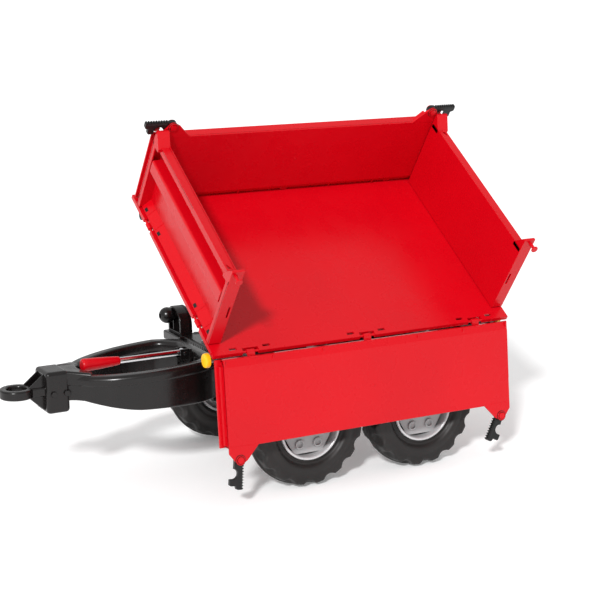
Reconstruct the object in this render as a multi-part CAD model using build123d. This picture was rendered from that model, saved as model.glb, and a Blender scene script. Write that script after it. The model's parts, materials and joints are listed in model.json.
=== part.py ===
from build123d import *
import math
import os

# Ride-on tipping trailer for a pedal tractor: a red three-part tipping box on a black tandem-axle
# chassis with a drawbar loop. Modelled with x = 0 at the box centre, +x forward, +y left and z = 0
# on the ground, then shifted so that the origin is the centre of the tow eye's bore.
# Rest pose: box tipped 35 degrees to the left, left side board hanging open.

os.makedirs("parts", exist_ok=True)

# driving dimensions, mm and degrees
EYE_X, EYE_Z = 590.0, 196.0                 # tow-eye bore centre
EYE_R, EYE_RING, EYE_T = 18.0, 31.0, 20.0   # bore radius, ring radius, plate thickness
BOX_L, BOX_W = 620.0, 416.0                 # floor plate
FLOOR_TOP, FLOOR_T, SKIRT, RIB_DEPTH = 293.0, 4.0, 8.0, 20.0
HINGE_IN, HINGE_DOWN = 4.5, 5.0             # board hinge axis from the floor's edge and top
STATIONS_SIDE = (-236.5, 0.0, 236.5)        # hinge stations along a side edge
STATIONS_END = (-125.0, 125.0)              # and along the front and rear edges
KNUCKLE_R, KNUCKLE_W, NOTCH_W, PIN_R = 4.5, 15.0, 31.0, 2.5
BOARD_LOW, BOARD_TOP, BOARD_T = 7.0, 162.0, 3.5
SIDE_IN, SIDE_HALF, SIDE_PANEL = 20.0, 308.0, 297.5
END_IN, END_HALF, END_TOP = 19.5, 182.0, 160.0
STUD_Q, STUD_H = 3.5, 173.0                 # stud axis on the end boards
LATCH_X, LATCH_H = 277.0, 185.0             # latch pivot on the side boards
TIP_ANGLE, BOARD_OPEN = 35.0, 139.5
PIVOT_Y, PIVOT_Z, BALL_X, BALL_R = 187.0, 259.0, 216.0, 16.0
LOCK_R, FIT = 5.0, 0.05                     # lock pin radius, radial running clearance
AXLE_X, AXLE_Z, AXLE_R = (110.0, -132.0), 113.0, 6.0
TYRE_R, TYRE_HALF, WHEEL_Y = 113.0, 33.0, 177.0
RAIL_IN, RAIL_OUT, RAIL_LOW, RAIL_TOP, WALL = 45.0, 85.0, 150.0, 206.0, 4.0
STRUT_X, STRUT_Z, STRUT_TILT, STRUT_STROKE = -11.0, 120.0, 7.74, 54.85
STRUT_BALL, STRUT_REACH = 14.0, 138.2       # head ball radius, its centre's height with the box down
LEVER_X, LEVER_Z = 268.5, 230.0


def block(x0, x1, y0, y1, z0, z1):
    return Pos((x0 + x1) / 2, (y0 + y1) / 2, (z0 + z1) / 2) * Box(x1 - x0, y1 - y0, z1 - z0)


def rod_x(r, a, b, y, z):
    return Pos((a + b) / 2, y, z) * Rot(0, 90, 0) * Cylinder(r, b - a)


def rod_y(r, a, b, x, z):
    return Pos(x, (a + b) / 2, z) * Rot(90, 0, 0) * Cylinder(r, b - a)


def rod_z(r, a, b, x, y):
    return Pos(x, y, (a + b) / 2) * Cylinder(r, b - a)


def plate_xz(points, y0, y1):
    """Polygon in the x-z plane, thick from y0 to y1."""
    face = Plane.XZ.offset(-y0) * Polygon(*points, align=None)
    return extrude(face, amount=y1 - y0, dir=(0, 1, 0))


def channel(x0, x1, y0, y1, z0, z1, wall):
    """Moulded beam, open underneath."""
    inside = block(x0 + wall, x1 - wall, y0 + wall, y1 - wall, z0 - 1, z1 - wall)
    return block(x0, x1, y0, y1, z0, z1) - inside


def mirror_x(shape):
    return mirror(shape, about=Plane.YZ)


def mirror_y(shape):
    return mirror(shape, about=Plane.XZ)


def tipped(shape):
    """From the lowered box to the box at rest, tipped about the left pivot line."""
    return shape.rotate(Axis((0, PIVOT_Y, PIVOT_Z), (1, 0, 0)), -TIP_ANGLE)


def save(node, shape):
    export_step(Pos(-EYE_X, 0, -EYE_Z) * shape, f"parts/{node}.step")


# ---------------------------------------------------------------- chassis
def loop_outline(points):
    """Closed face, symmetric about y = 0, through half-width points from back to front."""
    left = Spline(*[(x, w) for x, w in points])
    right = Spline(*[(x, -w) for x, w in points])
    (xb, wb), (xf, wf) = points[0], points[-1]
    edges = [left, right, Line((xb, -wb), (xb, wb))]
    if wf > 0:
        edges.append(Line((xf, -wf), (xf, wf)))
    return make_face(edges)


def chassis_frame():
    outer = [(232, 84), (256, 100), (290, 112), (345, 113), (395, 104), (440, 86), (474, 60), (499.5, 32)]
    outer_in = [(236, 80), (258, 95), (290, 107.5), (345, 108.5), (393, 99.5), (437, 82), (470, 57), (488, 38)]
    inner_in = [(252, 60), (275, 84), (300, 91), (345, 92), (390, 83), (432, 66), (462, 44), (482, 16)]
    inner = [(256, 56), (278, 80), (300, 86.5), (345, 87.5), (388, 79), (429, 62), (458, 41), (476, 13)]
    top, low = 235.0, 160.0
    ring = extrude(loop_outline(outer), amount=top - low) - extrude(loop_outline(inner), amount=top - low)
    cave = extrude(loop_outline(outer_in), amount=top - low - WALL)
    cave -= extrude(loop_outline(inner_in), amount=top - low - WALL)
    for x in (290, 345, 395):
        cave -= block(x - 1.5, x + 1.5, -130, 130, 0, top)
    ring = Pos(0, 0, low) * (ring - Pos(0, 0, -0.01) * cave)
    wedge = plate_xz([(285, 236), (285, 235), (470, 222), (560, 222), (560, 236)], -140, 140)
    shade = plate_xz([(285, 231), (470, 218), (505, 218), (505, 222), (470, 222), (285, 235)], -140, 140)
    lid = Pos(0, 0, low) * (extrude(loop_outline(outer), amount=top - low)
                            - extrude(loop_outline(inner), amount=top - low))
    frame = (ring - wedge) + (lid & shade)
    nose = block(484, 540, -26, 26, 163, 221) - block(494, 536, -22, 22, 160, 217)
    frame += nose
    for side in (-1, 1):
        y0, y1 = sorted((side * RAIL_IN, side * RAIL_OUT))
        frame += channel(-240, 240, y0, y1, RAIL_LOW, RAIL_TOP, WALL)
        for x in AXLE_X:
            hanger = block(x - 16, x + 16, y0, y1, AXLE_Z - 16, RAIL_LOW + 2)
            frame += hanger + block(x - 16, x - 12, y0, y1, RAIL_LOW, RAIL_TOP - 2)
            frame -= rod_y(AXLE_R, y0 - 1, y1 + 1, x, AXLE_Z)
    frame += channel(-240, -212, -RAIL_IN - 2, RAIL_IN + 2, RAIL_LOW, RAIL_TOP, WALL)
    frame += channel(214, 240, -RAIL_IN - 2, RAIL_IN + 2, RAIL_LOW + 10, RAIL_TOP, WALL)
    for x in (193, -193):
        for y in (-65, 65):
            frame -= rod_z(3, RAIL_TOP - 20, RAIL_TOP + 1, x, y)
    for x in (508, 532):
        frame -= rod_y(3, -40, 40, x, 192)
    return frame


def tow_coupler():
    sleeve = block(500, 545, -32, 32, 156, 232)
    sleeve = fillet(sleeve.edges().filter_by(Axis.X), 7)
    sleeve -= block(499, 541, -26, 26, 163, 221)
    neck = block(541, EYE_X, -19, 19, EYE_Z - EYE_T / 2, EYE_Z + EYE_T / 2)
    ring = rod_z(EYE_RING, EYE_Z - EYE_T / 2, EYE_Z + EYE_T / 2, EYE_X, 0)
    body = sleeve + fillet((neck + ring).edges().filter_by(Plane.XY), 3)
    for y in (-15, 11):
        body += plate_xz([(544, 226), (544, 204), (572, 204)], y, y + 4)
        body += plate_xz([(544, 162), (544, 188), (572, 188)], y, y + 4)
    body -= rod_z(EYE_R, EYE_Z - 20, EYE_Z + 20, EYE_X, 0)
    for x in (508, 532):
        body -= rod_y(3, -40, 40, x, 192)
    return body


def cross_bolt(x):
    shank = rod_y(3, -33, 33, x, 192)
    head = Pos(x, 32, 192) * Rot(-90, 0, 0) * extrude(RegularPolygon(6, 6), 4)
    nut = Pos(x, -32, 192) * Rot(90, 0, 0) * extrude(RegularPolygon(6, 6), 5)
    return shank + head + nut


def pivot_lug(x0, x1, low):
    """Round-topped lug with the pivot ball on its front, on the left front corner."""
    lug = block(x0, x1, PIVOT_Y - 18, PIVOT_Y + 18, low, PIVOT_Z) + rod_x(18, x0, x1, PIVOT_Y, PIVOT_Z)
    hollow = rod_x(13, x0 - 1, x1 - 6, PIVOT_Y, PIVOT_Z) \
        + block(x0 - 1, x1 - 6, PIVOT_Y - 13, PIVOT_Y + 13, low + 6, PIVOT_Z)
    core = rod_x(8, x0, x1, PIVOT_Y, PIVOT_Z) + rod_x(8, x1 - 1, BALL_X, PIVOT_Y, PIVOT_Z)
    core += Pos(BALL_X, PIVOT_Y, PIVOT_Z) * Rot(0, 90, 0) * Sphere(BALL_R) & block(x1, 240, 160, 210, 240, 280)
    web = block(x0, x1 - 1, PIVOT_Y - 2, PIVOT_Y + 2, low + 2, PIVOT_Z - 6)
    return lug - hollow + core + web - rod_x(LOCK_R + FIT, 188, 240, PIVOT_Y, PIVOT_Z)


def front_bolster():
    deck = channel(150, 206, -138, 138, RAIL_TOP, 226, WALL)
    for y in range(-120, 121, 30):
        deck += block(153, 203, y - 1.5, y + 1.5, RAIL_TOP, 224)
    arm = block(180, 206, 134, 172, RAIL_TOP, 226) + pivot_lug(180, 206, RAIL_TOP)
    body = deck + arm + mirror_y(arm)
    for y in (-65, 65):
        body -= rod_z(3, 190, 240, 193, y)
    return body


def rear_bolster():
    deck = channel(160, 206, -138, 138, RAIL_TOP, 245, WALL)
    for y in range(-120, 121, 30):
        deck += block(163, 203, y - 1.5, y + 1.5, RAIL_TOP, 243)
    arm = block(180, 206, 134, 172, 231, 245) + pivot_lug(180, 206, 231)
    body = deck + arm + mirror_y(arm)
    for y in (-65, 65):
        body -= rod_z(3, 190, 260, 193, y)
    return mirror_x(body)


def bolster_screw(x, y, seat):
    head = Pos(x, y, seat) * extrude(RegularPolygon(6, 6), 4)
    return head + rod_z(3, RAIL_TOP - 14, seat + 1, x, y)


def axle(x):
    return rod_y(AXLE_R, -214, 214, x, AXLE_Z)


def axle_cap(x, side):
    cap = rod_y(11, 208, 218, x, AXLE_Z) - rod_y(AXLE_R, 207, 214, x, AXLE_Z)
    cap = fillet(cap.edges().group_by(Axis.Y)[-1], 4)
    return cap if side > 0 else mirror_y(cap)


def strut_base():
    x = STRUT_X
    body = block(x - 32, x + 32, -RAIL_OUT, RAIL_OUT, 144, RAIL_LOW) - block(x - 25, x + 25, -32, 32, 140, 152)
    for s in (-1, 1):
        cheek = block(x + s * 29 - 3, x + s * 29 + 3, -18, 18, STRUT_Z - 12, 146)
        body += cheek - rod_x(5 + FIT, x - 40, x + 40, 0, STRUT_Z)
    return body


def lever_bracket():
    body = block(256, 260, -16, 16, 196, 238)
    for s in (-1, 1):
        body += block(258, 277, s * 10 - 2, s * 10 + 2, 219, 238)
    body -= rod_y(3, -20, 20, LEVER_X, LEVER_Z)
    return body


# ---------------------------------------------------------------- wheels
def revolve_y(profile):
    """Turn an (r, y) outline about the y axis."""
    face = Plane.XY * Polygon(*profile, align=None)
    return revolve(face, Axis.Y)


def tyre():
    shoulder = [(57, 24), (62, 24), (64, 27), (70, 30.5), (80, 32.6), (92, 33), (102, 32), (108.5, 28), (111.5, 22),
                (113, 12)]
    cavity = [(105, 16), (103, 22), (98, 26), (90, 28.5), (78, 28), (68, 25), (61, 18), (57, 18)]
    half = shoulder + [(r, -y) for r, y in reversed(shoulder)]
    inner = [(r, -y) for r, y in reversed(cavity)] + cavity
    body = revolve_y(half + inner)
    for i in range(16):
        a = math.radians(22.5 * i)
        for s in (-1, 1):
            at = a + s * math.radians(5.6)
            body -= Pos(122 * math.cos(at), s * 32, 122 * math.sin(at)) * Sphere(16.5)
    return body


def rim():
    section = [(AXLE_R + FIT, -30), (13, -30), (13, 12), (50, 14), (53, 10), (53, -27), (57, -27), (57, 24),
               (61.5, 24), (61.5, 30), (56, 30), (53, 20), (44, 18), (16, 18), (13, 28), (AXLE_R + FIT, 28)]
    body = revolve_y(section)
    for i in range(6):
        a = math.radians(30 + 60 * i)
        x, z = 37 * math.sin(a), -37 * math.cos(a)
        body += rod_y(8, 15, 23, x, z)
        body -= rod_y(2, 10, 24, x, z)
        b = math.radians(60 * i)
        for da in (-9, 0, 9):
            c = b + math.radians(da)
            body -= rod_y(3.2, 5, 30, 47.5 * math.sin(c), -47.5 * math.cos(c))
    return body


def placed_wheel(shape, x, side):
    turned = shape if side > 0 else Rot(0, 0, 180) * shape
    return Pos(x, side * WHEEL_Y, AXLE_Z) * turned


# ---------------------------------------------------------------- tipping box
def floor_plate():
    hx, hy, top = BOX_L / 2, BOX_W / 2, FLOOR_TOP
    body = block(-hx, hx, -hy, hy, top - FLOOR_T, top)
    body += block(-hx, hx, -hy, hy, top - SKIRT, top - 1) - block(-hx + 3, hx - 3, -hy + 3, hy - 3, 0, top)
    low = top - RIB_DEPTH
    for y in (-156, -78, 78, 156):
        body += block(-250, 250, y - 1.25, y + 1.25, low, top - 1)
    for x in (-250, -170, -90, 68, 148, 228):
        body += block(x - 1.25, x + 1.25, -157, 157, low, top - 1)
    pad = block(STRUT_X - 30, STRUT_X + 30, -62, 62, low, low + 3)
    for s in (-1, 1):
        pad += block(STRUT_X + s * 30 - 1.25, STRUT_X + s * 30 + 1.25, -79, 79, low, top - 1)
    body += pad
    axis_y, axis_z = hy - HINGE_IN, top - HINGE_DOWN
    for s in (-1, 1):
        for x in STATIONS_SIDE:
            edge = sorted((s * (axis_y - KNUCKLE_R - 0.7), s * (hy + 1)))
            body += block(x - 24, x + 24, *sorted((s * (hy - 14), s * hy)), top - SKIRT, top)
            body -= block(x - NOTCH_W / 2, x + NOTCH_W / 2, *edge, 0, top + 1)
            body += rod_x(PIN_R, x - NOTCH_W / 2 - 1, x + NOTCH_W / 2 + 1, s * axis_y, axis_z)
            for d in (-32.5, 32.5):
                body -= block(x + d - 7.25, x + d + 7.25, *sorted((s * (hy - 13), s * (hy - 8))), 0, top + 1)
        for y in STATIONS_END:
            edge = sorted((s * (hx - HINGE_IN - KNUCKLE_R - 0.7), s * (hx + 1)))
            body += block(*sorted((s * (hx - 14), s * hx)), y - 24, y + 24, top - SKIRT, top)
            body -= block(*edge, y - NOTCH_W / 2, y + NOTCH_W / 2, 0, top + 1)
            body += rod_y(PIN_R, y - NOTCH_W / 2 - 1, y + NOTCH_W / 2 + 1, s * (hx - HINGE_IN), axis_z)
            for d in (-32.5, 32.5):
                body -= block(*sorted((s * (hx - 13), s * (hx - 8))), y + d - 7.25, y + d + 7.25, 0, top + 1)
    return body


def knuckles(stations, q_arm):
    """Hinge barrels on the x axis with arms up to the board's lower flange."""
    body = Part()
    for x in stations:
        ring = rod_x(KNUCKLE_R, x - KNUCKLE_W / 2, x + KNUCKLE_W / 2, 0, 0)
        ring += block(x - KNUCKLE_W / 2, x + KNUCKLE_W / 2, 0, q_arm, 0, BOARD_LOW + 1)
        body += ring - rod_x(PIN_R + FIT, x - 20, x + 20, 0, 0)
    return body


def box_rib(half, q_out, q_in):
    """Hollow rib along the outside of a board, open at both ends."""
    h0, h1, t = 96.0, 125.0, 2.5
    return block(-half, half, q_out, q_in, h0, h1) - block(-half - 1, half + 1, q_out + t, q_in - 1, h0 + t, h1 - t)


def side_board():
    """Board in its own frame: hinge axis on x, +y inward, +z up."""
    t, q1, q0 = BOARD_T, SIDE_IN, 1.5
    body = block(-SIDE_PANEL, SIDE_PANEL, q1 - t, q1, BOARD_LOW, BOARD_TOP)
    body += block(-SIDE_HALF, SIDE_HALF, q0, q1 - 1, BOARD_LOW, BOARD_LOW + t)
    body += block(-SIDE_HALF, SIDE_HALF, q0, q1 - 1, BOARD_TOP - t, BOARD_TOP)
    body += box_rib(SIDE_PANEL - 2, -4.5, q1 - t + 1)
    for s in (-1, 1):
        body += block(*sorted((s * (SIDE_PANEL - t), s * SIDE_PANEL)), q0, q1 - 1, BOARD_LOW, 96)
        body += block(*sorted((s * (SIDE_PANEL - t), s * SIDE_PANEL)), q0, q1 - 1, 125, BOARD_TOP)
        body += block(*sorted((s * (SIDE_PANEL - 1), s * SIDE_HALF)), q0, q0 + t, BOARD_LOW, BOARD_TOP)
        horn = [(s * 238, 158), (s * 262, 194), (s * 290, 194), (s * 297.5, 176), (s * 297.5, 158)]
        body += plate_xz(horn, q1 - t, q1)
        body -= rod_y(3, 0, 40, s * LATCH_X, LATCH_H)
    for x in (-148, 0, 148):
        body += block(x - 1.25, x + 1.25, q0, q1 - 1, BOARD_LOW, 98)
        body += block(x - 1.25, x + 1.25, q0, q1 - 1, 123, BOARD_TOP)
    return body + knuckles(STATIONS_SIDE, 5)


def end_board():
    """Front or rear board in its own frame: hinge axis on x, +y inward, +z up."""
    t, q1, q_out = BOARD_T, END_IN, -4.5
    body = block(-END_HALF, END_HALF, q1 - t, q1, BOARD_LOW, END_TOP)
    body += block(-END_HALF, END_HALF, 1.5, q1 - 1, BOARD_LOW, BOARD_LOW + t)
    body += block(-END_HALF, END_HALF, 2, q1 - 1, END_TOP - t, END_TOP)
    body += block(-END_HALF, END_HALF, 2, 2 + t, END_TOP - 15, END_TOP)
    body += box_rib(END_HALF, q_out, q1 - t + 1)
    for s in (-1, 1):
        wall = block(*sorted((s * (END_HALF - t), s * END_HALF)), q_out, q1 - 1, BOARD_LOW, 158)
        wall -= block(*sorted((s * 170, s * 190)), 11, 15, 66, 92)
        wall -= block(*sorted((s * 170, s * 190)), q_out + 2.5, q1 - t, 98.5, 122.5)
        body += wall
        head = [(s * 158, 150), (s * 182, 150), (s * 182, 182), (s * 176, 182), (s * 158, 157)]
        body += plate_xz(head, q_out, q1)
        body += rod_x(3, *sorted((s * 178, s * 197)), STUD_Q, STUD_H)
        body += rod_x(6.5, *sorted((s * 196.5, s * 199.5)), STUD_Q, STUD_H)
    for x in (-91, 0, 91):
        body += block(x - 1.25, x + 1.25, 2, q1 - 1, BOARD_LOW, 98)
        body += block(x - 1.25, x + 1.25, 2, q1 - 1, 123, END_TOP)
    return body + knuckles(STATIONS_END, 5)


def latch(lever_deg):
    """Hook latch about the y axis through the origin: lever_deg turns the lever from +x towards +z."""
    body = plate_xz([(0, 9), (53, 9), (53, -3), (46, -5), (46, -17), (34, -17), (34, -11), (16, -9), (9, -9),
                     (0, -9)], 8.2, 16.2)
    body += rod_y(9, 8.2, 16.2, 0, 0)
    body -= rod_y(9, 8, 17, 25, -11)
    body -= rod_y(3 + FIT, 8, 17, 0, 0)
    for i in range(9):
        body -= rod_y(1.6, 8, 17, 10 + 5 * i, 9.6)
    return body.rotate(Axis.Y, -lever_deg)


def rivet():
    return rod_y(3, 5.2, 22.6, 0, 0) + rod_y(6, 5.2, 7.9, 0, 0) + rod_y(6, 20, 22.6, 0, 0)


def on_edge(shape, edge):
    """Move a board-frame shape to its closed place on the lowered box."""
    turn = {"right": 0, "left": 180, "front": 90, "rear": -90}[edge]
    hx, hy, z = BOX_L / 2 - HINGE_IN, BOX_W / 2 - HINGE_IN, FLOOR_TOP - HINGE_DOWN
    at = {"right": (0, -hy, z), "left": (0, hy, z), "front": (hx, 0, z), "rear": (-hx, 0, z)}[edge]
    return Pos(*at) * (Rot(0, 0, turn) * shape)


def hung(shape):
    """Swing the closed left board out and down to its hanging place."""
    axis = Axis((0, BOX_W / 2 - HINGE_IN, FLOOR_TOP - HINGE_DOWN), (1, 0, 0))
    return shape.rotate(axis, -BOARD_OPEN)


def pivot_saddle():
    """Saddle under the floor that sits over the left front pivot ball."""
    y, z, top, cup = PIVOT_Y, PIVOT_Z, FLOOR_TOP - FLOOR_T, BALL_R + 0.6
    body = block(208, 241, y - 20, y + 19, z - 4, top - 6) + block(208, 241, y - 20, y + 5, z, top)
    body -= rod_x(cup, 207, 233, y, z) + block(207, 233, y - cup, y + cup, z - 20, z)
    body += rod_x(10, 233, 241, y, z) + block(240, 293, y - 4, y + 4, top - 6, top)
    body += rod_x(10, 285, 293, y, z) + block(285, 293, y - 10, y + 10, z, top)
    return body - rod_x(LOCK_R + FIT, 230, 300, y, z)


def lock_pin():
    body = rod_x(LOCK_R, 196, 303, PIVOT_Y, PIVOT_Z)
    head = rod_x(17, 302, 312, PIVOT_Y, PIVOT_Z)
    return body + fillet(head.edges().filter_by(GeomType.CIRCLE), 3)


# ---------------------------------------------------------------- strut, lever
def strut_piece(shape, slid):
    """Put a piece drawn upright at the lowered length in its extended, tilted place."""
    moved = Pos(STRUT_X, 0, STRUT_Z + slid) * shape
    return moved.rotate(Axis((0, 0, STRUT_Z), (1, 0, 0)), -STRUT_TILT)


def strut_outer():
    body = rod_z(20, -12, 110, 0, 0) - rod_z(16 + FIT, -8, 111, 0, 0)
    for s in (-1, 1):
        body += rod_x(5, *sorted((s * 18, s * 31.5)), 0, 0)
    return body


def strut_middle():
    return rod_z(16, -4, 116, 0, 0) - rod_z(12 + FIT, 2, 117, 0, 0)


def strut_inner():
    tube = rod_z(12, 6, 130, 0, 0) - rod_z(9, 5, 122, 0, 0)
    return tube + Pos(0, 0, STRUT_REACH) * Sphere(STRUT_BALL)


def lever_bar():
    body = rod_x(5, LEVER_X + 4, 440, 0, LEVER_Z) + rod_y(7, -7.5, 7.5, LEVER_X, LEVER_Z)
    return body - rod_y(3 + FIT, -10, 10, LEVER_X, LEVER_Z)


def lever_grip():
    cone = Pos(430.5, 0, LEVER_Z) * Rot(0, 90, 0) * Cone(8, 12, 73)
    body = fillet(cone.edges().filter_by(GeomType.CIRCLE), 2.5)
    return body - rod_x(5, 390, 440, 0, LEVER_Z)


# ---------------------------------------------------------------- write every piece
save("chassis_frame", chassis_frame())
save("tow_coupler", tow_coupler())
save("coupler_bolt_front", cross_bolt(532))
save("coupler_bolt_rear", cross_bolt(508))
save("front_bolster", front_bolster())
save("rear_bolster", rear_bolster())
for tag, x, seat in (("front", 193, 226), ("rear", -193, 245)):
    save(f"bolster_screw_{tag}_left", bolster_screw(x, 65, seat))
    save(f"bolster_screw_{tag}_right", bolster_screw(x, -65, seat))
save("strut_base", strut_base())
save("lever_bracket", lever_bracket())
save("lever_pin", rod_y(3, -14, 14, LEVER_X, LEVER_Z))

one_tyre, one_rim = tyre(), rim()
for tag, x in (("front", AXLE_X[0]), ("rear", AXLE_X[1])):
    save(f"{tag}_axle", axle(x))
    for name, side in (("left", 1), ("right", -1)):
        save(f"axle_cap_{tag}_{name}", axle_cap(x, side))
        save(f"tyre_{tag}_{name}", placed_wheel(one_tyre, x, side))
        save(f"rim_{tag}_{name}", placed_wheel(one_rim, x, side))

save("floor_plate", tipped(floor_plate()))
save("front_board", tipped(on_edge(end_board(), "front")))
save("rear_board", tipped(on_edge(end_board(), "rear")))
saddle = pivot_saddle()
save("pivot_saddle_front_left", tipped(saddle))
save("pivot_saddle_front_right", tipped(mirror_y(saddle)))
save("pivot_saddle_rear_left", tipped(mirror_x(saddle)))
save("pivot_saddle_rear_right", tipped(mirror_x(mirror_y(saddle))))
save("lock_pin_front", tipped(lock_pin()))
save("lock_pin_rear", tipped(mirror_x(lock_pin())))

board = side_board()
save("left_board", tipped(hung(on_edge(board, "left"))))
save("right_board", tipped(on_edge(board, "right")))
pivot = Pos(LATCH_X, 0, LATCH_H)
HANG_FRONT, HANG_REAR = 84.0, 119.0         # left latches: lever angle up from the latched direction
save("rivet_left_front", tipped(hung(on_edge(mirror_x(pivot * rivet()), "left"))))
save("rivet_left_rear", tipped(hung(on_edge(pivot * rivet(), "left"))))
save("rivet_right_front", tipped(on_edge(pivot * rivet(), "right")))
save("rivet_right_rear", tipped(on_edge(mirror_x(pivot * rivet()), "right")))
save("latch_left_front", tipped(hung(on_edge(mirror_x(pivot * latch(HANG_FRONT)), "left"))))
save("latch_left_rear", tipped(hung(on_edge(pivot * latch(HANG_REAR), "left"))))
save("latch_right_front", tipped(on_edge(pivot * latch(0), "right")))
save("latch_right_rear", tipped(on_edge(mirror_x(pivot * latch(0)), "right")))

save("strut_outer", strut_piece(strut_outer(), 0))
save("strut_middle", strut_piece(strut_middle(), STRUT_STROKE))
save("strut_inner", strut_piece(strut_inner(), 2 * STRUT_STROKE))
save("lever_bar", lever_bar())
save("lever_grip", lever_grip())
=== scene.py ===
"""Looks of the ride-on tipping trailer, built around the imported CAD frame.

Sizes and places are in mm from the box centre on the ground. ROW turns them into the row frame, which is in
metres with its origin at the tow eye. Board parts are drawn in a board's own frame: x along the board, y
inwards, z up, with the fold axis at y = z = 0.
"""
import math

import bmesh
import bpy
from mathutils import Matrix, Vector
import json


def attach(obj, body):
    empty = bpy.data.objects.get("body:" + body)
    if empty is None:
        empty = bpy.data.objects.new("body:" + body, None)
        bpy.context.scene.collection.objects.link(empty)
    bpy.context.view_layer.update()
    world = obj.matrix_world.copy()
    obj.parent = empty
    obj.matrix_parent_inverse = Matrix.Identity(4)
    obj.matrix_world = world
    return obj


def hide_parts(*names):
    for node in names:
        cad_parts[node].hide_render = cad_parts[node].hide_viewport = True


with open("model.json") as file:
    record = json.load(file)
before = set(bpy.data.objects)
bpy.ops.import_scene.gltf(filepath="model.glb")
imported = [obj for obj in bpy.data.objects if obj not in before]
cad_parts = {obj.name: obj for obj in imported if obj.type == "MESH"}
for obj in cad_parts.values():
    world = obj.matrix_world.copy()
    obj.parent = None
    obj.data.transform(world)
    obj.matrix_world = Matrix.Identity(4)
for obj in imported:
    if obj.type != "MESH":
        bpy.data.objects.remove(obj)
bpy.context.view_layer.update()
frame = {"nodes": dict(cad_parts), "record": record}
scene = bpy.context.scene

# ---------------------------------------------------------------- driving sizes, in mm and degrees
MM = 0.001
EYE_X, EYE_Z = 590, 196                       # tow eye centre, the row frame's origin
EYE_BORE_R, EYE_RING_R = 18, 30.9
PIVOT_Y, PIVOT_Z, BALL_R = 187, 259, 16       # ball pivots that the box tips on
HINGE_X, HINGE_Y, HINGE_Z = 305.5, 203.5, 288  # fold axes of the end and side boards, box lowered
TIP_ANGLE, HANG_ANGLE = 35, 139.5             # box tipped, left board hanging
WHEEL_Y, WHEEL_R = 177, 113
TYRE_R, TYRE_STEPS, TYRE_POCKETS = 112.9, 256, 16   # just inside the CAD tyre
AXLE_X = {"front": 110, "rear": -132}
TYRE_TURN = {"front_left": 4, "rear_left": 9, "front_right": 15, "rear_right": 2}
RIM_BOLTS, RIM_BOLT_R = 6, 37
RAIL_IN, RAIL_OUT, RAIL_LOW, RAIL_TOP, RAIL_BACK = 45, 85, 150, 206, -240
LEVER_Z = 230
FOOT, INNER_Y = 7, 20                         # boards: lower edge, inner face
SIDE_TOP, SIDE_HALF = 162, 297.5
END_HALF = 180
RIB_LOW, RIB_TOP = 96, 125                    # closed rib along each board's outside
RIVET_X, RIVET_Z = 277, 185                   # latch rivets in the side boards' ears
SIDE_HINGES, END_HINGES = (-236.5, 0, 236.5), (-125, 125)
SLOT_OFF = 32.5                               # clip slots, to each side of an end board's hinge

CAMERA_AZ, CAMERA_EL, CAMERA_ROLL = 151.223, 13.216, -0.434
CAMERA_DISTANCE, CAMERA_TARGET = 3024.45, (0.342, -2.847, 226.93)
CAMERA_LENS, CAMERA_SHIFT = 93.45, (-0.0131217, 0.0609083)
CAMERA_SEES, FLOOR_HALF = 1000, 400           # in metres, so that no horizon shows
SUN_POWER, SUN_SPREAD, SUN_FROM, SKY_POWER = 3.1, 6, (0.57, 0.64, 0.51), 0.7

EDGE_SOFT, WELD_WITHIN, SOFTEN_OVER = 0.0006, 2e-5, 32   # carried-over CAD nodes, in metres and degrees
BUMP_DEPTH = 0.0002


def shift(x, y, z):
    return Matrix.Translation((x, y, z))


def turn(deg, axis):
    return Matrix.Rotation(math.radians(deg), 4, axis)


def mirror_x(side):
    """Mirrors x where side is -1, and leaves it where side is 1."""
    return Matrix.Diagonal((side, 1, 1, 1))


def ramp(value, span):
    """0 below zero, 1 past the span, straight between."""
    return max(0.0, min(1.0, value / span))


def turn_x(y, z, deg):
    return shift(0, y, z) @ turn(deg, "X") @ shift(0, -y, -z)


def edge_frame(x, y, deg):
    return shift(x, y, HINGE_Z) @ turn(deg, "Z")


ROW = shift(-EYE_X * MM, 0, -EYE_Z * MM) @ Matrix.Scale(MM, 4)
TIP = ROW @ turn_x(PIVOT_Y, PIVOT_Z, -TIP_ANGLE)
LEFT = TIP @ turn_x(HINGE_Y, HINGE_Z, -HANG_ANGLE) @ edge_frame(0, HINGE_Y, 180)
RIGHT = TIP @ edge_frame(0, -HINGE_Y, 0)
FRONT = TIP @ edge_frame(HINGE_X, 0, 90)
REAR = TIP @ edge_frame(-HINGE_X, 0, -90)


# ---------------------------------------------------------------- camera and light
def camera():
    az, el, roll = (math.radians(a) for a in (CAMERA_AZ, CAMERA_EL, CAMERA_ROLL))
    back = Vector((math.sin(az) * math.cos(el), -math.cos(az) * math.cos(el), math.sin(el)))
    right = (-back).cross(Vector((0, 0, 1))).normalized()
    up = right.cross(-back)
    rolled_right = right * math.cos(roll) + up * math.sin(roll)
    rolled_up = -right * math.sin(roll) + up * math.cos(roll)
    data = bpy.data.cameras.new("camera")
    data.sensor_width = 36
    data.lens = CAMERA_LENS
    data.shift_x, data.shift_y = CAMERA_SHIFT
    data.clip_end = CAMERA_SEES
    cam = bpy.data.objects.new("camera", data)
    place = ROW @ (Vector(CAMERA_TARGET) + back * CAMERA_DISTANCE)
    axes = Matrix((rolled_right, rolled_up, back)).transposed()
    cam.matrix_world = Matrix.Translation(place) @ axes.to_4x4()
    scene.collection.objects.link(cam)
    scene.camera = cam


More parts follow.
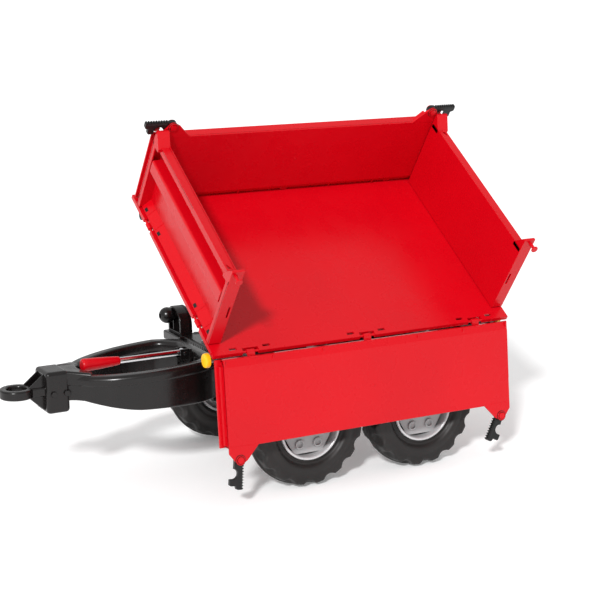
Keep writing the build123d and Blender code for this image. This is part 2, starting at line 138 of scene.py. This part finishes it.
def studio():
    sun = bpy.data.lights.new("key", "SUN")
    sun.energy, sun.angle = SUN_POWER, math.radians(SUN_SPREAD)
    lamp = bpy.data.objects.new("key", sun)
    lamp.rotation_euler = Vector(SUN_FROM).to_track_quat("Z", "Y").to_euler()
    scene.collection.objects.link(lamp)
    world = bpy.data.worlds.new("studio")
    world.use_nodes = True
    sky = world.node_tree.nodes["Background"]
    sky.inputs["Color"].default_value = (1, 1, 1, 1)
    sky.inputs["Strength"].default_value = SKY_POWER
    scene.world = world
    scene.view_settings.view_transform = "Standard"


# ---------------------------------------------------------------- materials
def noise(mat, coord, scale, detail, low, high):
    """Noise over the object, spread from low to high."""
    nodes, links = mat.node_tree.nodes, mat.node_tree.links
    tex = nodes.new("ShaderNodeTexNoise")
    tex.inputs["Scale"].default_value = scale
    tex.inputs["Detail"].default_value = detail
    links.new(coord.outputs["Object"], tex.inputs["Vector"])
    span = nodes.new("ShaderNodeMapRange")
    span.inputs["From Min"].default_value, span.inputs["From Max"].default_value = 0.3, 0.7
    span.inputs["To Min"].default_value, span.inputs["To Max"].default_value = low, high
    links.new(tex.outputs["Fac"], span.inputs["Value"])
    return span.outputs["Result"]


def material(name, colour, rough, metal=0.0, spec=0.5, glow=0.0, shade=0.06, vary=0.05, patch=9, bump=0.15,
             grain=900):
    """Colour varies by shade and roughness by vary, in patches over a fine grain."""
    mat = bpy.data.materials.new(name)
    mat.use_nodes = True
    nodes, links = mat.node_tree.nodes, mat.node_tree.links
    bsdf = nodes["Principled BSDF"]
    bsdf.inputs["Metallic"].default_value = metal
    bsdf.inputs["Specular IOR Level"].default_value = spec
    bsdf.inputs["Emission Color"].default_value = (1, 1, 1, 1)
    bsdf.inputs["Emission Strength"].default_value = glow
    coord = nodes.new("ShaderNodeTexCoord")
    mix = nodes.new("ShaderNodeMix")
    mix.data_type = "RGBA"
    mix.inputs["A"].default_value = (*[c * (1 - shade) for c in colour], 1)
    mix.inputs["B"].default_value = (*[min(1, c * (1 + shade)) for c in colour], 1)
    links.new(noise(mat, coord, patch, 4, 0, 1), mix.inputs["Factor"])
    links.new(mix.outputs["Result"], bsdf.inputs["Base Color"])
    links.new(noise(mat, coord, patch * 4, 5, rough - vary, rough + vary), bsdf.inputs["Roughness"])
    relief = nodes.new("ShaderNodeBump")
    relief.inputs["Strength"].default_value = bump
    relief.inputs["Distance"].default_value = BUMP_DEPTH
    links.new(noise(mat, coord, grain, 2, 0, 1), relief.inputs["Height"])
    links.new(relief.outputs["Normal"], bsdf.inputs["Normal"])
    return mat


RED = material("red_plastic", (0.51, 0.0008, 0.006), 0.28, spec=0.25, shade=0.04, patch=6, bump=0.01)
BLACK = material("black_plastic", (0.0050, 0.0040, 0.0039), 0.25, spec=0.4, shade=0.25, patch=14, bump=0.06,
                 grain=600)
LATCH = material("latch_plastic", (0.006, 0.006, 0.0062), 0.4, spec=0.35, shade=0.2, bump=0.2)
TYRE = material("tyre_rubber", (0.012, 0.0105, 0.0100), 0.5, spec=0.35, shade=0.2, patch=20, bump=0.35,
                grain=600)
RIM = material("rim_plastic", (0.36, 0.36, 0.365), 0.4)
RING = material("rim_ring", (0.55, 0.55, 0.56), 0.28, metal=0.3, shade=0.05, bump=0.1)
YELLOW = material("yellow_plastic", (0.93, 0.46, 0.004), 0.38)
CHROME = material("chrome_bar", (0.78, 0.78, 0.8), 0.12, metal=1.0, shade=0.04, vary=0.04, bump=0.05)
STEEL = material("zinc_steel", (0.5, 0.5, 0.51), 0.36, metal=1.0, shade=0.08, vary=0.08, bump=0.2, grain=1200)
FLOOR = material("studio_floor", (0.9, 0.9, 0.9), 0.8, spec=0.1, glow=0.17, shade=0.01, patch=2, bump=0.02)

BY_SLOT = {"red_gloss": RED, "chassis_black": BLACK, "latch_black": LATCH, "tyre_black": TYRE,
           "rim_silver": RIM, "cap_grey": RIM, "yellow": YELLOW, "lever_chrome": CHROME, "steel": STEEL}
DRAWN_BLACK = ("coupler_bolt", "lever_bracket")   # steel in the record


def dress_cad():
    """Procedural materials and softened edges on the CAD nodes that stay."""
    slots = {s["node"]: s["material_slot"] for s in frame["record"]["subparts"]}
    for name, ob in frame["nodes"].items():
        ob.data.materials.clear()
        ob.data.materials.append(BLACK if name.startswith(DRAWN_BLACK) else BY_SLOT[slots[name]])
        weld = ob.modifiers.new("weld", "WELD")
        weld.merge_threshold = WELD_WITHIN
        soft = ob.modifiers.new("soft", "BEVEL")
        soft.width, soft.segments, soft.limit_method = EDGE_SOFT, 2, "ANGLE"
        soft.angle_limit = math.radians(SOFTEN_OVER)
        soft.harden_normals = True


def stage_floor():
    mesh = bpy.data.meshes.new("studio_floor")
    signs = ((-1, -1), (1, -1), (1, 1), (-1, 1))
    corners = [(x * FLOOR_HALF, y * FLOOR_HALF, -EYE_Z * MM) for x, y in signs]
    mesh.from_pydata(corners, [], [(0, 1, 2, 3)])
    ob = bpy.data.objects.new("studio_floor", mesh)
    mesh.materials.append(FLOOR)
    scene.collection.objects.link(ob)


# ---------------------------------------------------------------- mesh tools, in mm
def merged(*parts):
    """One bmesh from several."""
    out = bmesh.new()
    for part in parts:
        mesh = bpy.data.meshes.new("part")
        part.to_mesh(mesh)
        part.free()
        out.from_mesh(mesh)
        bpy.data.meshes.remove(mesh)
    return out


def moved(bm, matrix):
    bmesh.ops.transform(bm, matrix=matrix, verts=bm.verts)
    if matrix.determinant() < 0:
        bmesh.ops.reverse_faces(bm, faces=bm.faces)
    return bm


def bevelled(bm, r, seg, angle=25):
    """Rounds every edge sharper than angle by r."""
    sharp = [e for e in bm.edges if len(e.link_faces) == 2 and e.calc_face_angle() > math.radians(angle)]
    bmesh.ops.bevel(bm, geom=sharp, offset=r, segments=seg, profile=0.5, affect="EDGES", clamp_overlap=True)
    return bm


def slab(x0, x1, y0, y1, z0, z1, r=0.8, seg=2):
    bm = bmesh.new()
    bmesh.ops.create_cube(bm, size=1)
    size = Matrix.Diagonal((x1 - x0, y1 - y0, z1 - z0, 1))
    moved(bm, shift((x0 + x1) / 2, (y0 + y1) / 2, (z0 + z1) / 2) @ size)
    return bevelled(bm, r, seg)


def prism(points, axis, a, b, r=0.8, seg=2):
    """Polygon extruded along x (points y, z) or y (points x, z)."""
    make = {"x": lambda p, t: (t, *p), "y": lambda p, t: (p[0], t, p[1])}[axis]
    bm = bmesh.new()
    low = [bm.verts.new(make(p, a)) for p in points]
    high = [bm.verts.new(make(p, b)) for p in points]
    bm.faces.new(low)
    bm.faces.new(high[::-1])
    n = len(points)
    for i in range(n):
        bm.faces.new((low[i], low[(i + 1) % n], high[(i + 1) % n], high[i]))
    bmesh.ops.recalc_face_normals(bm, faces=bm.faces)
    return bevelled(bm, r, seg)


def join_rings(bm, rings, closed):
    """Faces between each ring of vertices and the next, and from the last back to the first."""
    n = len(rings[0])
    for i, p in enumerate(rings):
        q = rings[(i + 1) % len(rings)]
        for j in range(n if closed else n - 1):
            k = (j + 1) % n
            bm.faces.new((p[j], p[k], q[k], q[j]))


def lathe(profile, steps=64, closed=True):
    """(r, y) outline turned about the y axis."""
    bm = bmesh.new()
    rings = []
    for i in range(steps):
        a = 2 * math.pi * i / steps
        rings.append([bm.verts.new((r * math.cos(a), y, r * math.sin(a))) for r, y in profile])
    join_rings(bm, rings, closed)
    bmesh.ops.remove_doubles(bm, verts=bm.verts, dist=1e-4)
    bmesh.ops.recalc_face_normals(bm, faces=bm.faces)
    return bm


def rod(r, a, b, soft=0.5, steps=32):
    """Rod along y with rounded ends."""
    corner = soft * 0.3
    return lathe([(0, a), (r - soft, a), (r - corner, a + corner), (r, a + soft), (r, b - soft),
                  (r - corner, b - corner), (r - soft, b), (0, b)], steps, closed=False)


def along_x(bm):
    return moved(bm, turn(-90, "Z"))


def plate(outlines, z0, z1, r=0.6, seg=2, grow=0.0):
    """Flat plate with holes and rounded edges: the first outline is the outside."""
    curve = bpy.data.curves.new("plate", "CURVE")
    curve.dimensions, curve.fill_mode = "2D", "BOTH"
    for pts in outlines:
        spline = curve.splines.new("POLY")
        spline.points.add(len(pts) - 1)
        for point, (x, y) in zip(spline.points, pts):
            point.co = (x, y, 0, 1)
        spline.use_cyclic_u = True
    curve.extrude = (z1 - z0) / 2 - r
    curve.bevel_depth, curve.bevel_resolution, curve.offset = r, seg, grow - r
    ob = bpy.data.objects.new("plate", curve)
    scene.collection.objects.link(ob)
    mesh = bpy.data.meshes.new_from_object(ob.evaluated_get(bpy.context.evaluated_depsgraph_get()))
    bm = bmesh.new()
    bm.from_mesh(mesh)
    bpy.data.objects.remove(ob)
    bpy.data.curves.remove(curve)
    bpy.data.meshes.remove(mesh)
    bmesh.ops.remove_doubles(bm, verts=bm.verts, dist=1e-3)
    bmesh.ops.recalc_face_normals(bm, faces=bm.faces)
    return moved(bm, shift(0, 0, (z0 + z1) / 2))


def stand_y(bm):
    """A plate drawn in x, y becomes one drawn in x, z, thick along -y."""
    return moved(bm, turn(90, "X"))


def stand_x(bm):
    """A plate drawn in x, y becomes one drawn in y, z, thick along x."""
    return moved(bm, Matrix(((0, 0, 1, 0), (1, 0, 0, 0), (0, 1, 0, 0), (0, 0, 0, 1))))


def circle(x, y, r, n=32, start=0.0, sweep=360.0):
    """Points on a circle, or on an arc with both its ends."""
    steps = n if sweep >= 360 else n + 1
    return [(x + r * math.cos(math.radians(start + sweep * i / n)),
             y + r * math.sin(math.radians(start + sweep * i / n))) for i in range(steps)]


def smooth_line(points, per=6):
    """Catmull-Rom points through an open list."""
    out = []
    for i in range(len(points) - 1):
        p0, p1 = Vector(points[max(i - 1, 0)]), Vector(points[i])
        p2, p3 = Vector(points[i + 1]), Vector(points[min(i + 2, len(points) - 1)])
        for k in range(per):
            t = k / per
            out.append(tuple(0.5 * (2 * p1 + (p2 - p0) * t + (2 * p0 - 5 * p1 + 4 * p2 - p3) * t * t
                                    + (3 * p1 - p0 - 3 * p2 + p3) * t ** 3)))
    return out + [tuple(points[-1])]


def both_sides(half):
    """A closed outline from its half on the left of the centre line."""
    return half + [(x, -y) for x, y in reversed(half)]


def piece(name, bm, matrix, mat, body, *nodes, smooth=32):
    """A finished object: smooth with creases, riding on its body and standing for its CAD nodes."""
    moved(bm, matrix)
    mesh = bpy.data.meshes.new(name)
    bm.to_mesh(mesh)
    bm.free()
    mesh.polygons.foreach_set("use_smooth", [True] * len(mesh.polygons))
    mesh.set_sharp_from_angle(angle=math.radians(smooth))
    mesh.materials.append(mat)
    ob = bpy.data.objects.new(name, mesh)
    scene.collection.objects.link(ob)
    even = ob.modifiers.new("even", "WEIGHTED_NORMAL")
    even.keep_sharp = True
    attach(ob, body)
    if nodes:
        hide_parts(*nodes)


# ---------------------------------------------------------------- wheels, about the y axis, outer side +y
def pocket_depth(deg, r, y):
    """How deep a shoulder pocket is at this point of the tyre's skin."""
    if abs(y) <= 3 or r <= 92:
        return 0.0
    step = 360 / TYRE_POCKETS
    stagger = 5.6 if y > 0 else -5.6
    off = (deg - stagger + step / 2) % step - step / 2
    along = math.radians(off) * 110 / 14.5
    across = math.hypot(r - 108.5, abs(y) - 24.5) / 17.5
    return max(0.0, 7.0 * (1 - along * along - across * across))


def tyre_mesh():
    """Centre rib, shoulder pockets and bulged walls."""
    half = [(113, 0), (113, 2.4), (112.2, 4.0), (110.6, 5.4), (110.2, 9), (110, 14), (109.8, 18), (109.4, 22),
            (108.8, 26), (107.6, 29), (105.6, 31.4), (102.6, 32.6), (99, 32.9), (95, 32.2), (91, 31.4),
            (88, 31.6), (85, 32.4), (82, 32.9), (78.5, 32.8), (75.5, 31.6), (73, 29.2), (71, 26.6),
            (69, 25.2), (66.8, 25.2), (65, 26.2), (63.4, 26.4), (62, 25.4), (61, 23.4), (59, 21), (57, 19)]
    fine = [(min(r, TYRE_R), y) for r, y in smooth_line(half, 3)]
    section = [(r, -y) for r, y in reversed(fine[1:])] + fine
    bm = bmesh.new()
    rings = []
    for i in range(TYRE_STEPS):
        a = 2 * math.pi * i / TYRE_STEPS
        ring = []
        for r, y in section:
            push = pocket_depth(math.degrees(a), r, y)
            inward = r - push * (1 - 0.45 * ramp(110 - r, 12))
            sideways = y - math.copysign(push * 0.5, y)
            ring.append(bm.verts.new((inward * math.cos(a), sideways, inward * math.sin(a))))
        rings.append(ring)
    join_rings(bm, rings, closed=False)
    bmesh.ops.recalc_face_normals(bm, faces=bm.faces)
    return bm


def rim_mesh():
    """Dished disc with six bolt bosses and six segment openings, barrel and hub."""
    outline = []
    for i in range(RIM_BOLTS):
        outline += circle(0, 0, 57, 2, 60 * i - 62, 4)
    disc = stand_y(plate([outline, circle(0, 0, 12, 32)], -18, -14, 0.8))
    barrel = lathe([(53, -27), (57, -27), (57, 24), (56.2, 27), (55.2, 24), (55.2, 8), (53, 4)], 96)
    cone = lathe([(12, 17.4), (13.5, 17.8), (15.5, 19.5), (15, 24), (13.4, 27.4), (11.6, 28), (6.3, 28),
                  (6.3, 14)], 48)
    bosses = []
    for i in range(RIM_BOLTS):
        a = math.radians(30 + 60 * i)
        boss = lathe([(9, 17.6), (9, 20.8), (8.4, 21.7), (6.2, 21.9), (5.6, 21.3), (5.3, 18.6), (2.9, 18.4),
                      (2.6, 18.2), (2.5, 15)], 36, closed=False)
        bosses.append(moved(boss, shift(RIM_BOLT_R * math.sin(a), 0, -RIM_BOLT_R * math.cos(a))))
    web = lathe([(54.9, -4), (16, -10), (6.3, -10), (6.3, -30), (13, -30), (13, -12), (53, -8)], 72)
    return merged(disc, barrel, cone, web, *bosses)


def wheel(tag, place):
    """Tyre, rim, bright rim ring, and a dark disc behind the rim's openings as painted shade inside the
    wheel.
    """
    body = f"wheel_{tag}"
    piece(f"tyre_{tag}_skin", tyre_mesh(), place @ turn(TYRE_TURN[tag], "Y"), TYRE, body, f"tyre_{tag}",
          smooth=50)
    piece(f"rim_{tag}_disc", rim_mesh(), place, RIM, body, f"rim_{tag}")
    ring = lathe([(61.5, 27), (61.2, 28.8), (60, 29.9), (58.4, 30), (57, 29.3), (56.2, 27.6), (56, 24),
                  (61.3, 24)], 96)
    piece(f"rim_{tag}_ring", ring, place, RING, body, smooth=60)
    # painted shade: a dark disc behind the rim's openings stands in for the shade inside the wheel
    back = lathe([(12, 7), (55, 7), (55, 9), (12, 9)], 64)
    piece(f"rim_{tag}_back", back, place, TYRE, body)


def wheels():
    for end, x in AXLE_X.items():
        wheel(f"{end}_left", ROW @ shift(x, WHEEL_Y, WHEEL_R))
        wheel(f"{end}_right", ROW @ shift(x, -WHEEL_Y, WHEEL_R) @ turn(180, "Z"))


# ---------------------------------------------------------------- chassis
LOOP_OUT = [(232, 84), (256, 100), (290, 112), (345, 113), (395, 104), (440, 86), (474, 60), (499.5, 34),
            (540, 27)]
LOOP_IN = [(256, 56), (278, 80), (300, 86.5), (345, 87.5), (388, 79), (429, 62), (458, 41), (472, 20)]


def drawbar():
    """Loop with a rounded top bead, thinner towards the coupler, and the two rails under the box."""
    loop = [both_sides(smooth_line(half)) for half in (LOOP_OUT, LOOP_IN)]
    wall = plate(loop, 160, 224, 4, 3, grow=-2)
    bead = plate(loop, 214, 235, 8, 5)
    for bm in (wall, bead):
        for v in bm.verts:
            if v.co.z > 200:
                v.co.z -= 13 * ramp(v.co.x - 285, 185)
            if v.co.z < 175:
                v.co.z += 16 * ramp(v.co.x - 390, 90) ** 1.5
    parts = [wall, bead]
    for s in (-1, 1):
        y0, y1 = sorted((RAIL_IN * s, RAIL_OUT * s))
        parts.append(slab(RAIL_BACK, 250, y0, y1, RAIL_LOW, RAIL_TOP, 5, 3))
        for x in AXLE_X.values():
            parts.append(slab(x - 16, x + 16, y0, y1, 98, 160, 4, 2))
        parts.append(slab(247, 259, *sorted((24 * s, 34 * s)), 164, 226, 3, 2))
    parts.append(slab(RAIL_BACK, -212, -50, 50, RAIL_LOW, RAIL_TOP, 5, 3))
    parts.append(slab(214, 244, -50, 50, 160, RAIL_TOP, 5, 3))
    parts.append(slab(484, 540, -26, 26, 178, 221, 3, 2))
    piece("drawbar_frame", merged(*parts), ROW, BLACK, "chassis", "chassis_frame")


def coupler():
    """Block, deck that runs back over the loop, tow eye, and gussets above and below the eye's neck."""
    block = slab(502, 545, -32, 32, 156, 232, 7, 4)
    half = [(520, 30), (505, 32)] + smooth_line([(470, 52), (460, 36), (471, 18), (474, 0)], 5)
    deck = plate([half + [(x, -y) for x, y in reversed(half[:-1])]], 212, 230.5, 5, 4)
    for v in deck.verts:
        if v.co.x < 500:
            v.co.z -= 5 * (500 - v.co.x) / 40
    neck = [(541, 22), (552, 20), (566, 21)]
    outline = neck + circle(EYE_X, 0, EYE_RING_R, 40, 138, -276) + [(x, -y) for x, y in reversed(neck)]
    eye = plate([outline, circle(EYE_X, 0, EYE_BORE_R, 40)], 187.5, 204.5, 3.5, 4)
    parts = [block, deck, eye]
    for y in (-17, 13):
        for end, near, tip in ((229, 203, 207), (159, 189, 185)):
            parts.append(prism([(543, end), (543, near), (574, near), (570, tip)], "y", y, y + 4, 1))
    piece("tow_coupler_body", merged(*parts), ROW, BLACK, "chassis", "tow_coupler")


def pivot_lug(top):
    """Round-topped lug on the beam's top, with its inner rib and the pivot ball, for the left end."""
    arch = [(205, top - 2)] + circle(186, 257.5, 19, 8, 0, 100) + [(172, 275), (160, 269.5), (150, 259),
                                                                   (146, 246), (145, top - 2)]
    hole = [(199, top + 3)] + circle(186, 257.5, 13, 8, 0, 100) + [(172, 269), (163, 264), (155, 256),
                                                                   (151.5, 246), (151, top + 3)]
    rim = stand_x(plate([arch, hole], 182, 206, 1.4, 3))
    wall = stand_x(plate([arch], 180.5, 188, 1.0, 2))
    rib = slab(187, 203, 185.5, 188.5, top, 262, 0.8)
    angles = [math.radians(t) for t in range(70, -85, -5)]
    skin = [(BALL_R * math.cos(a), BALL_R * math.sin(a)) for a in angles]
    ball = lathe([(5.05, 15)] + skin + [(5.05, -15)], 48, closed=False)
    stem = rod(9, -30, 3, 1)
    return [rim, wall, rib, moved(along_x(merged(ball, stem)), shift(216, PIVOT_Y, PIVOT_Z))]


def bolster(front):
    """Cross-beam with ribbed face, lugs and pivot balls; drawn for the front, mirrored for the rear."""
    top = 226 if front else 245
    parts = [slab(150 if front else 160, 206, -138, 138, 204, top, 4, 3)]
    for s in (-1, 1):
        parts.append(slab(180, 217, *sorted((130 * s, 207 * s)), top - 18, top, 3, 3))
        lug = pivot_lug(top)
        if s < 0:
            lug = [moved(bm, Matrix.Diagonal((1, -1, 1, 1))) for bm in lug]
        parts += lug
    for y in range(-128, 129, 8):
        parts.append(slab(204.4, 206.8, y - 2.4, y + 2.4, 206 if front else 212, top - 4, 0.8, 2))
    name = "front_bolster" if front else "rear_bolster"
    piece(f"{name}_beam", merged(*parts), ROW @ mirror_x(1 if front else -1), BLACK, "chassis", name)


def lever():
    """Plated bar with a cross knuckle at its foot, and a tapered red grip."""
    bar = moved(along_x(rod(5.6, 262, 410, 1)), shift(0, 0, LEVER_Z))
    knuckle = moved(rod(7, -7.5, 7.5, 1), shift(268.5, 0, LEVER_Z))
    piece("lever_rod", merged(bar, knuckle), ROW, CHROME, "tip_lever", "lever_bar")
    section = [(0, 394), (6.6, 394), (7.8, 395.4), (8.2, 400), (9.6, 416), (10.9, 436), (11.8, 456),
               (12, 462), (11.4, 465.4), (9.6, 467), (0, 467)]
    grip = moved(along_x(lathe(section, 48, closed=False)), shift(0, 0, LEVER_Z))
    piece("lever_handle", grip, ROW, RED, "tip_lever", "lever_grip", smooth=40)


# ---------------------------------------------------------------- boards, each in its own board frame
def knuckle_parts(stations, reach):
    """Hinge rings on the fold axis, with the arms that join them to the board's foot."""
    parts = []
    for x in stations:
        ring = lathe([(2.55, -7.5), (4.1, -7.5), (4.5, -7.1), (4.5, 7.1), (4.1, 7.5), (2.55, 7.5)], 32)
        parts.append(moved(along_x(ring), shift(x, 0, 0)))
        parts.append(slab(x - 7.5, x + 7.5, 2.2, 4.9, 0.5, 8.5, 0.6))
        parts.append(slab(x - 7.5, x + 7.5, 2.2, reach + 5, 6.3, 9.6, 0.6))
    return parts


def side_board(name, matrix):
    """Inner face with slanted foot and crease, ears with rivet rings, flanges and hollow rib outside."""
    face = [(13, FOOT), (INNER_Y, 20), (INNER_Y, 112.6), (19.55, 113.6), (19.55, 161), (18.7, SIDE_TOP),
            (16.4, SIDE_TOP), (16.4, 21), (9.6, 8)]
    rib = [(-4.5, 98.5), (-4.5, 122.5), (-2, RIB_TOP), (17, RIB_TOP), (17, RIB_LOW), (-2, RIB_LOW)]
    parts = [prism(face, "x", -SIDE_HALF, SIDE_HALF, 0.4)]
    parts.append(slab(-SIDE_HALF, SIDE_HALF, 1.5, 19, 158.3, SIDE_TOP, 1.2, 3))
    parts.append(slab(-SIDE_HALF, SIDE_HALF, 1.5, 12, FOOT, 10.5, 1))
    parts.append(prism(rib, "x", -290, 290, 1.2, 3))
    for s in (-1, 1):
        parts.append(slab(*sorted((s * 294, s * SIDE_HALF)), 1.5, 19, FOOT, SIDE_TOP, 0.8))
        parts.append(slab(*sorted((s * 296.5, s * 308)), 1.5, 5, FOOT, SIDE_TOP, 0.9))
        parts.append(slab(*sorted((s * 296.5, s * 303)), 4, 12, 18, 158, 0.9))
        ear = [(238, 160), (263, 187)] + circle(RIVET_X, 184.5, 9.5, 8, 140, -125) + [(SIDE_HALF, 172),
                                                                                      (SIDE_HALF, 159)]
        parts.append(prism([(s * x, z) for x, z in ear], "y", 16.6, INNER_Y, 0.7))
        web = [(s * 244, 160), (s * 262, 181), (s * 265, 180), (s * 250, 160)]
        parts.append(prism(web, "y", 8, 18, 0.8))
        ring = lathe([(7.1, 19.8), (8.8, 19.8), (8.8, 21.3), (8.4, 21.8), (7.5, 21.8), (7.1, 21.3)], 40)
        parts.append(moved(ring, shift(s * RIVET_X, 0, RIVET_Z)))
        for x in (100, 200):
            for low, high in ((9, 97), (124, 160)):
                parts.append(slab(s * x - 1, s * x + 1, 2, 18, low, high, 0.5))
    dimple = lathe([(0.8, 20), (2.6, 20), (2.6, 20.35), (2.1, 20.6), (1.2, 20.6), (0.8, 20.3)], 20)
    parts.append(moved(dimple, shift(0, 0, 89)))
    parts += knuckle_parts(SIDE_HINGES, 10)
    piece(f"{name}_shell", merged(*parts), matrix, RED, name, name, smooth=30)


def end_post(s):
    """Post, roofed head and mushroom stud at one end of an end board; s is -1 or 1."""
    wall = [(-4.5, FOOT), (19.2, FOOT), (19.2, 158), (-4.5, 158)]
    slot = [(12, 70), (15.4, 70), (15.4, 96), (12, 96)]
    post = moved(stand_x(plate([wall, slot], -1.75, 1.75, 0.7)), shift(s * 180.2, 0, 0))
    flange = slab(*sorted((s * 171, s * 181)), -4.5, -1.2, FOOT, 152, 0.9)
    stiffener = slab(*sorted((s * 171, s * 174)), -3, 17, 8, 97, 0.7)
    roof = [(s * 157, 151), (s * 182, 151), (s * 182, 181), (s * 181, 182), (s * 177, 182), (s * 157, 158)]
    head = prism(roof, "y", -4.5, 19.5, 0.9, 3)
    neck = rod(3, 179, 198.4, 0.5, 24)
    disc = lathe([(0, 196.3), (5.9, 196.3), (6.5, 196.9), (6.5, 198.7), (5.9, 199.4), (0, 199.5)], 32,
                 closed=False)
    stud = moved(along_x(merged(neck, disc)), shift(0, 3.5, 173))
    return [post, flange, stiffener, head, moved(stud, mirror_x(s))]


def end_board(name, matrix):
    """Flat inside; shelf, lip, closed rib, sloping foot, seams and end posts outside."""
    face = [(16, 6.5), (19.5, 6.5), (19.5, 159.2), (18.7, 160), (16, 160)]
    parts = [prism(face, "x", -END_HALF, END_HALF, 0.4)]
    shelf = [[(-178, 2), (178, 2), (178, 18.6), (-178, 18.6)],
             [(140, 6), (152, 6), (152, 13.5)], [(155, 8), (167, 14.5), (155, 14.5)]]
    parts.append(moved(plate(shelf, 0, 3.6, 0.7), shift(0, 0, 156.4)))
    parts.append(slab(-178, 178, 2, 5.2, 146, 159, 1.0))
    parts.append(slab(-176, 176, 17.2, 19.5, 158.6, 160.9, 0.8))
    rib = [(-4.5, 99), (-4.5, 121), (-3, 124), (17, RIB_TOP), (17, RIB_LOW), (-2.5, RIB_LOW)]
    parts.append(prism(rib, "x", -168, 168, 1.3, 3))
    parts.append(prism([(1.5, 6.5), (17, 6.5), (17, 25), (14.5, 22), (1.5, 9)], "x", -176, 176, 0.8))
    seam = [(1.2, 8.4), (14.4, 21.6), (16.4, 24), (16.4, 34), (15.6, 34), (15.6, 24.4), (0.9, 9.2)]
    for x in END_HINGES:
        for off in (-19.5, 19.5):
            parts.append(prism(seam, "x", x + off - 0.7, x + off + 0.7, 0.2))
    for x in (-95, 0, 95):
        dot = lathe([(0.7, -5), (1.9, -5), (1.9, -4.3), (0.7, -4.3)], 16)
        parts.append(moved(dot, shift(x, 0.3, 110)))
    parts += end_post(-1)
    parts += end_post(1)
    parts += knuckle_parts(END_HINGES, 9)
    piece(f"{name}_shell", merged(*parts), matrix, RED, "box", name, smooth=30)


def painted_slot_shade(name, matrix):
    """Painted shade: dark fill in the slots beside an end board's hinges, seen in the sloping foot, so that
    the holes read as shadowed.
    """
    slot = [(1.9, 9.9), (6.1, 14.1), (6.9, 13.5), (3.0, 9.4)]
    middles = [x + off for x in END_HINGES for off in (-SLOT_OFF, SLOT_OFF)]
    parts = [prism(slot, "x", x - 4.5, x + 4.5, 0.2) for x in middles]
    piece(f"{name}_painted_slot_shade", merged(*parts), matrix, LATCH, "box")


def painted_rivet_shade(name, matrix):
    """Painted shade: dark rings around the rivets, inside the rings on a side board's ears, standing in for
    the shade in their grooves.
    """
    parts = []
    for s in (-1, 1):
        groove_shade = lathe([(4.5, 19.8), (10, 19.8), (10, 20.3), (4.5, 20.3)], 40)
        parts.append(moved(groove_shade, shift(s * RIVET_X, 0, RIVET_Z)))
    piece(f"{name}_painted_rivet_shade", merged(*parts), matrix, LATCH, name)


# ---------------------------------------------------------------- latches and lock pins
def latch(name, matrix, side, lever_deg):
    """Hook with a serrated back about its rivet; side is -1 where it is mirrored."""
    outline = circle(0, 0, 9, 10, 95, 165) + [(9, -8.8), (15.5, -8.9)]
    outline += circle(25, -11, 9.2, 12, 170, -170)
    outline += [(34.2, -17), (44, -17), (46, -15), (46, -5.5), (52, -3.5), (53, -1), (53, 6.2)]
    for i in range(9):
        x = 51.6 - 5 * i
        outline += [(x, 9), (x - 1.9, 9), (x - 2.9, 6.5), (x - 4.1, 6.5)]
    outline += [(6, 8.2)]
    hook = prism(outline, "y", 8.6, 15.8, 0.5, 2)
    ridge = slab(10, 50, 7.9, 16.3, 1.2, 5.6, 1.0)
    boss = rod(7.4, 8.2, 16.2, 0.8, 32)
    bm = moved(merged(hook, ridge, boss), turn(-lever_deg, "Y"))
    place = matrix @ mirror_x(side) @ shift(RIVET_X, 0, RIVET_Z)
    piece(f"{name}_hook", bm, place, LATCH, name, name, smooth=30)


def lock_pin(end, s):
    """Steel pin with a rounded yellow head; s is -1 at the rear."""
    head = [(0, 302), (11.5, 302), (13, 303.4), (13, 308.4), (12.2, 310.8), (9.5, 311.9), (0, 312)]
    place = TIP @ mirror_x(s) @ shift(0, PIVOT_Y, PIVOT_Z)
    body = f"lock_pin_{end}"
    piece(f"{body}_knob", along_x(lathe(head, 48, closed=False)), place, YELLOW, body, body, smooth=40)
    piece(f"{body}_shank", along_x(rod(4.9, 197, 303, 0.8)), place, STEEL, body)


# ---------------------------------------------------------------- the whole trailer
camera()
studio()
stage_floor()
dress_cad()
wheels()
drawbar()
coupler()
bolster(True)
bolster(False)
lever()
for board, place in (("left_board", LEFT), ("right_board", RIGHT)):
    side_board(board, place)
for board, place in (("front_board", FRONT), ("rear_board", REAR)):
    end_board(board, place)
latch("latch_left_front", LEFT, -1, 84)
latch("latch_left_rear", LEFT, 1, 119)
latch("latch_right_front", RIGHT, 1, 0)
latch("latch_right_rear", RIGHT, -1, 0)
# painted shade: dark fill in the end boards' slots
for board, place in (("front", FRONT), ("rear", REAR)):
    painted_slot_shade(board, place)
# painted shade: dark rings in the rivet grooves of the side boards
for board, place in (("left_board", LEFT), ("right_board", RIGHT)):
    painted_rivet_shade(board, place)
lock_pin("front", 1)
lock_pin("rear", -1)
